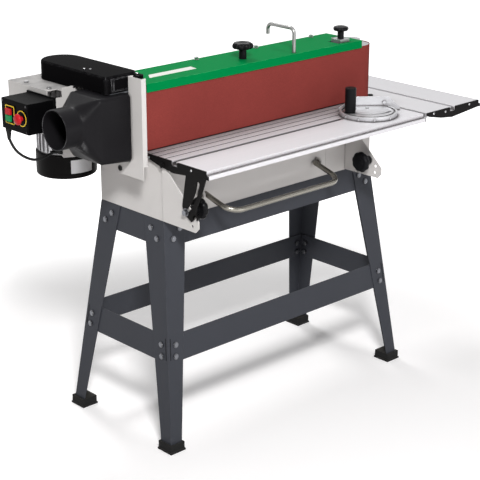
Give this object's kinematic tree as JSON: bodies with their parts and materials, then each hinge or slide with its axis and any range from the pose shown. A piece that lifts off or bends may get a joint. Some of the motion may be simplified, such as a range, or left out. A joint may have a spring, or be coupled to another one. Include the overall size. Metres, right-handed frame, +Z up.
{
  "type": "edge sander",
  "caption": "Stationary belt edge sander on a splayed steel stand: upright belt, tilting table with mitre gauge, end table, dust port and side motor.",
  "frame": {"origin": "centre of the machine's footprint box, on the floor", "axes": "+X along the sanding belt towards the end table, +Y from the front table to the motor side, +Z up"},
  "size_m": [1.309, 0.571, 0.9997],
  "materials": {
    "stand_paint": "satin",
    "zinc": "bright zinc",
    "foot_rubber": "matt",
    "body_paint": "satin",
    "frame_steel": "satin",
    "graphite": "matt",
    "abrasive": "gritty",
    "green_paint": "satin",
    "black_plastic": "satin",
    "black_paint": "satin",
    "cast_aluminium": "cast",
    "anodised": "anodised",
    "turned_steel": "turned",
    "yellow_plastic": "satin",
    "green_plastic": "gloss",
    "red_plastic": "gloss"
  },
  "bodies": {
    "machine": {"leg_front_left": "stand_paint", "leg_front_right": "stand_paint", "leg_rear_left": "stand_paint", "leg_rear_right": "stand_paint", "stand_aprons": "stand_paint", "stand_braces": "stand_paint", "stand_bolts": "zinc", "rubber_feet": "foot_rubber", "cabinet_shell": "body_paint", "front_panel": "body_paint", "tilt_brackets": "body_paint", "lock_bolts": "zinc", "deck_plate": "frame_steel", "belt_frame": "frame_steel", "platen": "frame_steel", "graphite_pad": "graphite", "sanding_belt": "abrasive", "top_cover": "green_paint", "back_cover": "green_paint", "machine_screws": "zinc", "work_stop": "body_paint", "cable_fittings": "foot_rubber", "dust_hood": "black_plastic", "drum_bearings": "frame_steel", "motor_mount": "body_paint", "motor_body": "cast_aluminium", "fan_cowl": "black_paint", "terminal_box": "body_paint", "belt_guard": "black_plastic", "v_belt": "foot_rubber", "switch_box": "black_plastic", "switch_plate": "yellow_plastic", "motor_cord": "foot_rubber", "end_table_top": "anodised", "end_table_plates": "black_paint", "end_table_support": "frame_steel"},
    "table": {"table_top": "anodised", "table_end_plates": "black_paint", "tilt_arm": "black_paint", "pivot_pins": "black_paint"},
    "left_knob": {"left_lock_knob": "black_plastic"},
    "right_knob": {"right_lock_knob": "black_plastic"},
    "bail": {"bail_handle": "turned_steel"},
    "gauge_bar": {"mitre_bar": "zinc"},
    "gauge_head": {"mitre_head": "cast_aluminium"},
    "gauge_handle": {"mitre_handle": "black_plastic"},
    "lever": {"tension_lever": "zinc"},
    "idler_carrier": {"idler_slide": "turned_steel"},
    "idler": {"idler_drum": "turned_steel"},
    "drive": {"drive_drum": "turned_steel", "drum_pulley": "turned_steel"},
    "rotor": {"motor_rotor": "turned_steel", "motor_fan": "black_plastic", "motor_pulley": "turned_steel"},
    "cover_knob": {"lock_knob": "black_plastic"},
    "track_knob": {"tracking_knob": "black_plastic"},
    "start": {"start_button": "green_plastic"},
    "stop": {"stop_button": "red_plastic"},
    "emergency": {"emergency_stop": "red_plastic"}
  },
  "joints": [
    {"name": "table_tilt", "type": "hinge", "parent": "machine", "child": "table", "pos_m": [0, -0.1195, 0.743], "axis": [1, 0, 0], "range_deg": [0, 40]},
    {"name": "left_knob_turn", "type": "hinge", "parent": "machine", "child": "left_knob", "pos_m": [-0.3515, -0.2045, 0.643], "axis": [1, 0, 0], "range_deg": [-180, 180]},
    {"name": "right_knob_turn", "type": "hinge", "parent": "machine", "child": "right_knob", "pos_m": [0.2525, -0.2045, 0.643], "axis": [1, 0, 0], "range_deg": [-180, 180]},
    {"name": "bail_fold", "type": "hinge", "parent": "machine", "child": "bail", "pos_m": [-0.0485, -0.1215, 0.641], "axis": [1, 0, 0], "range_deg": [0, 60]},
    {"name": "gauge_slide", "type": "slide", "parent": "table", "child": "gauge_bar", "axis": [1, 0, 0], "range_m": [-0.565, 0.012]},
    {"name": "gauge_swing", "type": "hinge", "parent": "gauge_bar", "child": "gauge_head", "pos_m": [0.3075, -0.1625, 0.767], "axis": [0, 0, 1], "range_deg": [-105, 5]},
    {"name": "gauge_handle_turn", "type": "hinge", "parent": "gauge_bar", "child": "gauge_handle", "pos_m": [0.2395, -0.1625, 0.8], "axis": [0, 0, 1], "range_deg": [-180, 180]},
    {"name": "lever_swing", "type": "hinge", "parent": "machine", "child": "lever", "pos_m": [0.1495, -0.0355, 0.93], "axis": [0, 0, 1], "range_deg": [0, 90]},
    {"name": "idler_shift", "type": "slide", "parent": "machine", "child": "idler_carrier", "axis": [1, 0, 0], "range_m": [-0.008, 0]},
    {"name": "idler_spin", "type": "hinge", "parent": "idler_carrier", "child": "idler", "pos_m": [0.4205, 0.0014, 0.84], "axis": [0, 0, 1], "continuous": true},
    {"name": "drive_spin", "type": "hinge", "parent": "machine", "child": "drive", "pos_m": [-0.43339, 0.0014, 0.84], "axis": [0, 0, 1], "continuous": true},
    {"name": "rotor_spin", "type": "hinge", "parent": "machine", "child": "rotor", "pos_m": [-0.43339, 0.2075, 0.84], "axis": [0, 0, 1], "continuous": true},
    {"name": "cover_knob_turn", "type": "hinge", "parent": "machine", "child": "cover_knob", "pos_m": [-0.0035, 0.0014, 0.95], "axis": [0, 0, 1], "range_deg": [-180, 180]},
    {"name": "track_knob_turn", "type": "hinge", "parent": "idler_carrier", "child": "track_knob", "pos_m": [0.3525, -0.0165, 0.95], "axis": [0, 0, 1], "range_deg": [-180, 180]},
    {"name": "start_push", "type": "slide", "parent": "machine", "child": "start", "axis": [1, 0, 0], "range_m": [0, 0.003], "stiffness_N_per_m": 300},
    {"name": "stop_push", "type": "slide", "parent": "machine", "child": "stop", "axis": [1, 0, 0], "range_m": [0, 0.003], "stiffness_N_per_m": 300},
    {"name": "emergency_push", "type": "slide", "parent": "machine", "child": "emergency", "axis": [1, 0, 0], "range_m": [0, 0.005], "stiffness_N_per_m": 600}
  ],
  "couplings": [
    {"joint": "lever_swing", "follows": "idler_shift", "rad_per_m": -196.3},
    {"joint": "idler_spin", "follows": "drive_spin", "ratio": 1},
    {"joint": "rotor_spin", "follows": "drive_spin", "ratio": 1}
  ]
}
